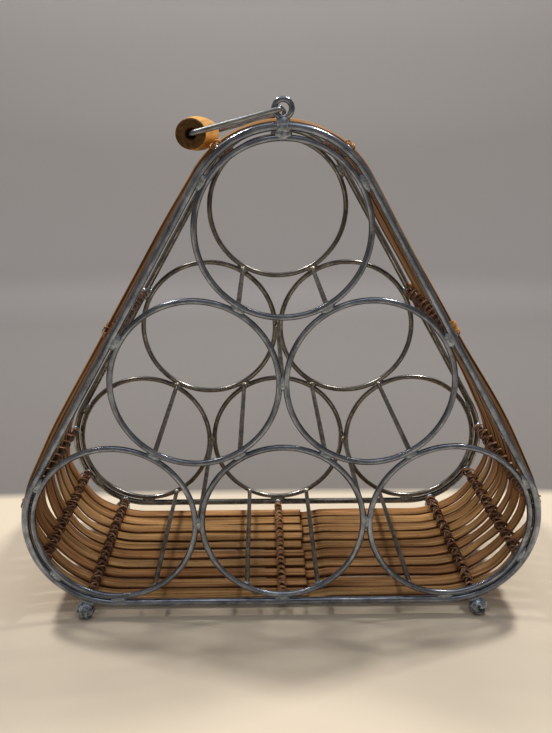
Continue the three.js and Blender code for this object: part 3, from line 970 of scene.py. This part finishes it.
def slat_section(crown):
    """Across and thickness places round a slat's section, as shares of half its width, and metres.
    The skin side is domed, the inner side flat and the edges rounded."""
    half = SLAT_THICKNESS / 2
    face = np.linspace(-SLAT_FACE, SLAT_FACE, 9)
    skin = [(a, half - crown * a * a) for a in face]
    inner = [(a, -half + SLAT_INNER_CROWN * a * a) for a in face[::-1]]
    right = [
        (SLAT_EDGE, half - crown - SLAT_INNER_CROWN),
        (1.0, SLAT_EDGE_DEPTH),
        (SLAT_EDGE, -half + SLAT_ROUND),
    ]
    left = [(-a, t) for a, t in right[::-1]]
    return np.array(skin + right + inner + left)


def make_slats():
    section = slat_section(SLAT_CROWN)
    full = slat_section(SLAT_FULL_CROWN)
    squareness = by_station(FULL_EDGES)
    skin_share = eased(section[:, 1] / SLAT_THICKNESS + 0.5)
    for slat in SLATS:
        count = math.ceil((slat.end - slat.start) / SLAT_STEP)
        at = np.linspace(slat.start, slat.end, count)
        at = np.concatenate([[at[0] - SLAT_END_BEVEL], at, [at[-1] + SLAT_END_BEVEL]])
        ends = np.concatenate([[SLAT_END_THIN], np.ones(count), [SLAT_END_THIN]])
        spot, out = on_outline(at)
        climb_start = OUTLINE_LENGTH - LAP_INNER_END - LAP_STEP - LAP_CLIMB
        drop = LAP_DROP * eased((at - climb_start) / LAP_CLIMB)
        lift = SLAT_MIDDLE + slat.stray(slat.bow, at) + drop
        centre = in_plane(spot + out * lift[:, None], slat.middle_at(at))
        outward = in_plane(out, 0)
        tilt = slat.stray(slat.twist, at)[:, None]
        across_axis = np.array(ALONG_Y) * np.cos(tilt) + outward * np.sin(tilt)
        depth_axis = outward * np.cos(tilt) - np.array(ALONG_Y) * np.sin(tilt)
        half_width = slat.half_width_at(at) * (1 - SLAT_END_NARROW * (1 - ends))
        across = section[None, :, 0] * half_width[:, None]
        square = slat.stray(squareness, at)[:, None]
        depth = (section[None, :, 1] * (1 - square) + full[None, :, 1] * square) * ends[:, None]
        along = at + SLAT_PHASE * slat.number
        points, faces, straight = swept(centre, across, depth, across_axis, depth_axis, along)
        shape = Shape().add(
            points,
            faces,
            straight=straight,
            skin=np.tile(skin_share, len(at)),
            # edge: how far across the slat a point lies, which the cane uses to paint shade along
            # the edges
            edge=np.tile(np.abs(section[:, 0]), len(at)),
            tone=np.full(len(points), slat.tone),
        )
        piece(f"{slat.name}_strip", shape, CANE, slat.name, slot="cane")


# Rattan lashings

def gap_places(at):
    """Where the gaps beside the slats lie at a length along the outline, from front to back."""
    lows = [float(slat.middle_at(at) - slat.half_width_at(at)) for slat in SLATS]
    highs = [float(slat.middle_at(at) + slat.half_width_at(at)) for slat in SLATS]
    inner = [(high + low) / 2 for high, low in zip(highs, lows[1:])]
    margin = inner[1] - inner[0] - (highs[1] - lows[1])
    return [lows[0] - margin / 2, *inner, highs[-1] + margin / 2]


def smoothed(points):
    """A path with every corner cut twice, so that a strand bends round it."""
    path = np.asarray(points, float)
    for _ in range(2):
        quarter = path[:-1] * 0.75 + path[1:] * 0.25
        three = path[:-1] * 0.25 + path[1:] * 0.75
        inside = np.stack([quarter, three], 1).reshape(-1, path.shape[1])
        path = np.concatenate([path[:1], inside, path[-1:]])
    return path


def wrap_route(gaps, under, mirror, slack, thickness, loose, random):
    """One strand that slants over the rail at every gap and crosses under every slat outside, so
    that it and its mirror image knot at the gaps. Rows hold across, along the rail, inwards, and
    the strand's width and thickness there."""
    side = RAIL_WIRE / 2 + STRAND_CLEARANCE + thickness / 2
    over = STRAND_OVERLAP * thickness if mirror > 0 else 0.0
    pair = STRAND_PAIR * mirror
    flare = STRAND_FLARE * slack
    rows = []
    for number, gap in enumerate(gaps):
        slant = STRAND_SLANT * random.uniform(*STRAND_SLANTS)
        shift = random.uniform(-STRAND_SHIFT, STRAND_SHIFT)
        lift = (over + random.uniform(0, STRAND_LIFT)) * slack
        lift += loose * random.uniform(0, LOOSE_LIFT)
        sway = loose * mirror * random.uniform(-LOOSE_SWAY, LOOSE_SWAY)
        width = STRAND_WIDTH * (1 + random.uniform(-1, 1) * STRAND_UNEVEN)
        for degrees in WRAP_ANGLES:
            angle = math.radians(degrees)
            height = max(0.0, math.sin(angle))
            reach = side + lift * height ** 2 + flare * (1 - height)
            y = gap + pair * (1 - height) + (shift + slant * math.cos(angle)) * height ** 0.5
            across = reach * math.cos(angle) + sway * height
            rows.append((across, y, reach * math.sin(angle), width, thickness))
        if number < len(gaps) - 1:
            following = gaps[number + 1]
            sag = random.uniform(0, STRAND_SAG)
            below = [
                (-side - flare, gap + pair, under * 0.5, STRAND_IN_GAP),
                (-side, gap + pair, under, STRAND_IN_GAP),
                (-side * 0.3, gap * 0.65 + following * 0.35, under - sag, STRAND_WIDTH),
                (side * 0.3, gap * 0.35 + following * 0.65, under - sag, STRAND_WIDTH),
                (side, following + pair, under, STRAND_IN_GAP),
                (side + flare, following + pair, under * 0.5, STRAND_IN_GAP),
            ]
            rows += [(*row, thickness) for row in below]
    route = smoothed(rows)
    route[:, 0] *= mirror
    return route


def binder_route(gaps, hand, width, thickness, turns, random):
    """One strand wound round the rail alone, with so many turns to a slat, one way or the other. It
    dips under the rail in the gaps and is squeezed thin where it passes between rail and slat."""
    whole = turns * (len(gaps) - 1)
    turn = np.linspace(0, whole, 16 * whole + 1)
    angle = 2 * math.pi * turn - math.pi / 2
    height = np.sin(angle)
    rise = np.maximum(height, 0) ** 2
    knots = np.arange(whole + 1)
    lift = np.interp(turn, knots, random.uniform(0, BINDER_LIFT, whole + 1))
    lift += BINDER_OVERLAP * thickness * (hand > 0)
    pressed = STRAND_SQUEEZED + (thickness - STRAND_SQUEEZED) * eased((height + 0.6) / 0.6)
    reach = RAIL_WIRE / 2 + BINDER_CLEARANCE + pressed / 2 + lift * rise
    stray = random.uniform(-BINDER_STRAY, BINDER_STRAY, whole + 1)
    uneven = 1 + random.uniform(-1, 1, whole + 1) * STRAND_UNEVEN
    at_gaps = np.interp(turn, turns * np.arange(len(gaps)), gaps)
    y = at_gaps + np.interp(turn, knots, stray)
    widths = width * np.interp(turn, knots, uneven)
    return np.column_stack([hand * reach * np.cos(angle), y, reach * height, widths, pressed])


def knot_route(y, inward, radius, shift, turns, random):
    """The end of a strand wound up in a small uneven coil beside the first slat."""
    turn = np.linspace(0, turns * 2 * math.pi, math.ceil(18 * turns))
    uneven = 1 + KNOT_UNEVEN * np.sin(turn * 0.7 + random.uniform(0, 6))
    across = shift + np.linspace(-0.5, 0.5, len(turn)) * turns * 0.9 * KNOT_STRAND
    along = y + radius * uneven * np.cos(turn)
    depth = inward + radius * uneven * np.sin(turn)
    section = np.full((len(turn), 2), (KNOT_STRAND, STRAND_THICKNESS))
    return np.column_stack([across, along, depth, section])


def strand(route, facing, phase):
    """A flattened strand along a route, with a flat side turned the way it is facing."""
    path, width, thickness = route[:, :3], route[:, 3], route[:, 4]
    tangent = headings(path, False)
    facing = facing - tangent * np.sum(facing * tangent, axis=1, keepdims=True)
    facing /= np.maximum(np.linalg.norm(facing, axis=1, keepdims=True), 1e-9)
    section = oval(STRAND_SIDES, width / 2, thickness / 2)
    along = lengths_along(path) + phase
    return swept(path, *section, np.cross(tangent, facing), facing, along)


def make_lashings():
    for number, rail in enumerate(RAILS):
        random = random_for(f"lashing {rail.name}")
        gaps = gap_places(rail.at)
        spring = float(SLATS[0].stray(SLATS[0].bow, rail.at))
        stack = RAIL_WIRE / 2 + SEAT_GAP + SLAT_THICKNESS + spring
        lapped = rail.name == "bottom_centre"
        stack += LAP_DROP * lapped
        under = -(stack + STRAND_CLEARANCE + STRAND_THICKNESS / 2)
        routes = []
        slack, thin = TIGHT_RAILS.get(rail.name, (1.0, 1.0))
        loose = rail.name in LOOSE_RAILS
        for mirror in (1, -1):
            wrap = wrap_route(gaps, under, mirror, slack, thin * STRAND_THICKNESS, loose, random)
            routes.append((wrap, wrap[:, :3] * (1, 0, 1) + (0, 0, stack / 2), 0.0))
        if rail.name not in BARE_RAILS:
            for hand in (1, -1):
                binder = binder_route(gaps, hand, *(PLAIT if lapped else BINDER), random)
                routes.append((binder, binder[:, :3] * (1, 0, 1), PLAIT_SKIN * lapped))
        if rail.name in KNOTS:
            radius, shift, turns, least = KNOTS[rail.name]
            for gap in (gaps[0], gaps[-1]):
                depth = KNOT_DEPTH * under
                knot = knot_route(gap, depth, radius * MM, shift * MM, turns, random)
                routes.append((knot, (knot[:, :3] - (0, gap, depth)) * (0, 1, 1), least))
        inward = np.array((-math.cos(rail.facing), 0, -math.sin(rail.facing)))
        across = np.array((-math.sin(rail.facing), 0, math.cos(rail.facing)))
        turn = np.array([across, ALONG_Y, inward])
        shape = Shape()
        for index, (route, facing, least) in enumerate(routes):
            points, faces, straight = strand(
                route, facing, LASHING_PHASE * number + STRAND_PHASE * index
            )
            placed = points @ turn + np.array((rail.x, 0, rail.z))
            # Painted shade: the skin share falls to red-brown as a strand goes inside the wrap and
            # rises to honey outside it, never below least.
            skin = np.maximum(eased((RAIL_WIRE / 2 + points[:, 2]) / under), least)
            shape.add(placed, faces, straight=straight, skin=skin)
        name = f"lashing_{rail.name}"
        piece(f"{name}_strands", shape, RATTAN, name, slot="rattan")


# Handle

FOLD = (GRIP_AXIS - EYE_AXIS).normalized()
BAIL_REACH = (GRIP_AXIS - EYE_AXIS).length


def bail_half():
    """Half of the bail's path, from its hook at the front eye to the grip: reach and y."""
    hook = EYE_WIRE / 2 + HOOK_CLEARANCE + BAIL_WIRE / 2
    arm = -PANEL_Y - hook
    arm_end = BAIL_REACH - BAIL_BEND
    return np.array([
        (EYE_RADIUS + HOOK_TAIL, -PANEL_Y + hook),
        *arc(EYE_RADIUS, -PANEL_Y, hook, 90, 270, 18),
        *[(reach, arm) for reach in np.linspace(EYE_RADIUS, arm_end, 14)[1:-1]],
        *arc(arm_end, arm + BAIL_BEND, BAIL_BEND, -90, 0, 10),
    ])


def make_bail():
    half = bail_half()
    whole = np.concatenate([half, (half * (1, -1))[::-1]])
    path = np.array(EYE_AXIS) + whole[:, :1] * np.array(FOLD) + whole[:, 1:] * np.array(ALONG_Y)
    shape = wire(path, FOLD.cross(BACK), BAIL_WIRE, phase=50)
    piece("bail_wire", shape, BAIL, "bail", body="bail")


def make_grip():
    """A barrel turned round Y, with eased rims, a reamed mouth at each end and a bore."""
    half = extent("grip").y / 2
    end_radius = GRIP_END_DIAMETER / 2
    swell = GRIP_MIDDLE_DIAMETER / 2 - end_radius
    barrel_end = half - GRIP_EDGE_ROUND
    along = np.linspace(-1, 1, 41)
    profile = [
        (GRIP_BORE_RADIUS, -half + GRIP_MOUTH_DEPTH),
        (GRIP_MOUTH_RADIUS, -half + GRIP_MOUTH_EASE),
        (GRIP_MOUTH_RADIUS + GRIP_MOUTH_EASE, -half),
        (end_radius - 1.3 * GRIP_EDGE_ROUND, -half),
        *arc(end_radius - GRIP_EDGE_ROUND, -barrel_end, GRIP_EDGE_ROUND, -60, -30, 1),
    ]
    profile += [(end_radius + swell * (1 - a * a), a * barrel_end) for a in along]
    profile += [(radius, -y) for radius, y in profile[:6]][::-1]
    profile = np.array(profile)
    rings = turned(profile, GRIP_SIDES)[..., [0, 2, 1]]
    points, faces = loft(rings + np.array(GRIP_AXIS), True)
    flat = np.abs(profile[:, 1]) > barrel_end + 0.4 * GRIP_EDGE_ROUND
    bore = profile[:, 0] < GRIP_MOUTH_RADIUS + GRIP_MOUTH_EASE / 3
    # The flat ends and the bore take the dark end colour: end grain with painted shade on the ends,
    # painted shade alone in the bore.
    end = np.repeat((flat | bore).astype(float), GRIP_SIDES)
    shape = Shape().add(points, faces, end=end)
    piece("grip_turned", shape, WOOD, "grip", slot="turned_wood", body="grip")


# Stage

def studio_floor():
    """A pale counter that turns into a greyer backdrop further from a place in front. The backdrop
    is darkest just behind the counter and lighter further off, a painted shadow behind the rack.
    """
    material, tree, shader = new_material("studio_floor")
    place = object_place(tree)
    near = stretched(tree, place, FLOOR_SCALE, FLOOR_SHIFT)
    reach = node(tree, "ShaderNodeVectorMath", {0: near}, operation="LENGTH").outputs["Value"]
    fill(tree, shader, {"Base Color": ramp(tree, reach, FLOOR_AND_SHADOW_TONES), "Roughness": 0.6})
    return material


def make_stage():
    """A pale floor that sweeps up into a plain wall all round."""
    flat = [(0.001, 0.0), (0.4, 0.0), (0.9, 0.0)]
    bend = arc(FLOOR_REACH, FLOOR_SWEEP, FLOOR_SWEEP, -90, 0, 12)
    profile = np.array([*flat, *bend, (FLOOR_REACH + FLOOR_SWEEP, WALL_HEIGHT)])
    points, faces = loft(turned(profile, 96), False)
    mesh = bpy.data.meshes.new("studio")
    mesh.from_pydata(points.tolist(), [], faces[:-2])
    mesh.shade_smooth()
    mesh.materials.append(studio_floor())
    linked("studio", mesh)


def make_lights():
    for name, place, size, power, colour in LIGHTS:
        data = bpy.data.lights.new(name, "AREA")
        data.shape = "DISK"
        data.size = size
        data.energy = power
        data.color = colour
        lamp = linked(name, data)
        lamp.location = place
        lamp.rotation_euler = (LIGHT_AIM - Vector(place)).to_track_quat("-Z", "Y").to_euler()
    world = bpy.data.worlds.new("world")
    bpy.context.scene.world = world
    world.use_nodes = True
    backdrop = world.node_tree.nodes["Background"]
    fill(world.node_tree, backdrop, {"Color": SKY_COLOUR, "Strength": SKY_STRENGTH})


def make_camera():
    data = bpy.data.cameras.new("camera")
    data.sensor_width = SENSOR
    data.lens = FOCAL_PIXELS / max(IMAGE_WIDTH, IMAGE_HEIGHT) * SENSOR
    data.clip_start = 0.01
    turn = Matrix.Rotation(-CAMERA_YAW, 4, "Z")
    turn = turn @ Matrix.Rotation(math.pi / 2 - CAMERA_PITCH, 4, "X")
    turn = turn @ Matrix.Rotation(CAMERA_ROLL, 4, "Z")
    camera = linked("camera", data)
    camera.matrix_world = Matrix.Translation(CAMERA_PLACE) @ turn
    bpy.context.scene.camera = camera


make_camera()
make_panels()
make_rods()
make_rails()
make_feet()
make_eyes()
make_welds()
make_slats()
make_lashings()
make_bail()
make_grip()
make_stage()
make_lights()
bpy.context.scene.view_settings.view_transform = "Standard"
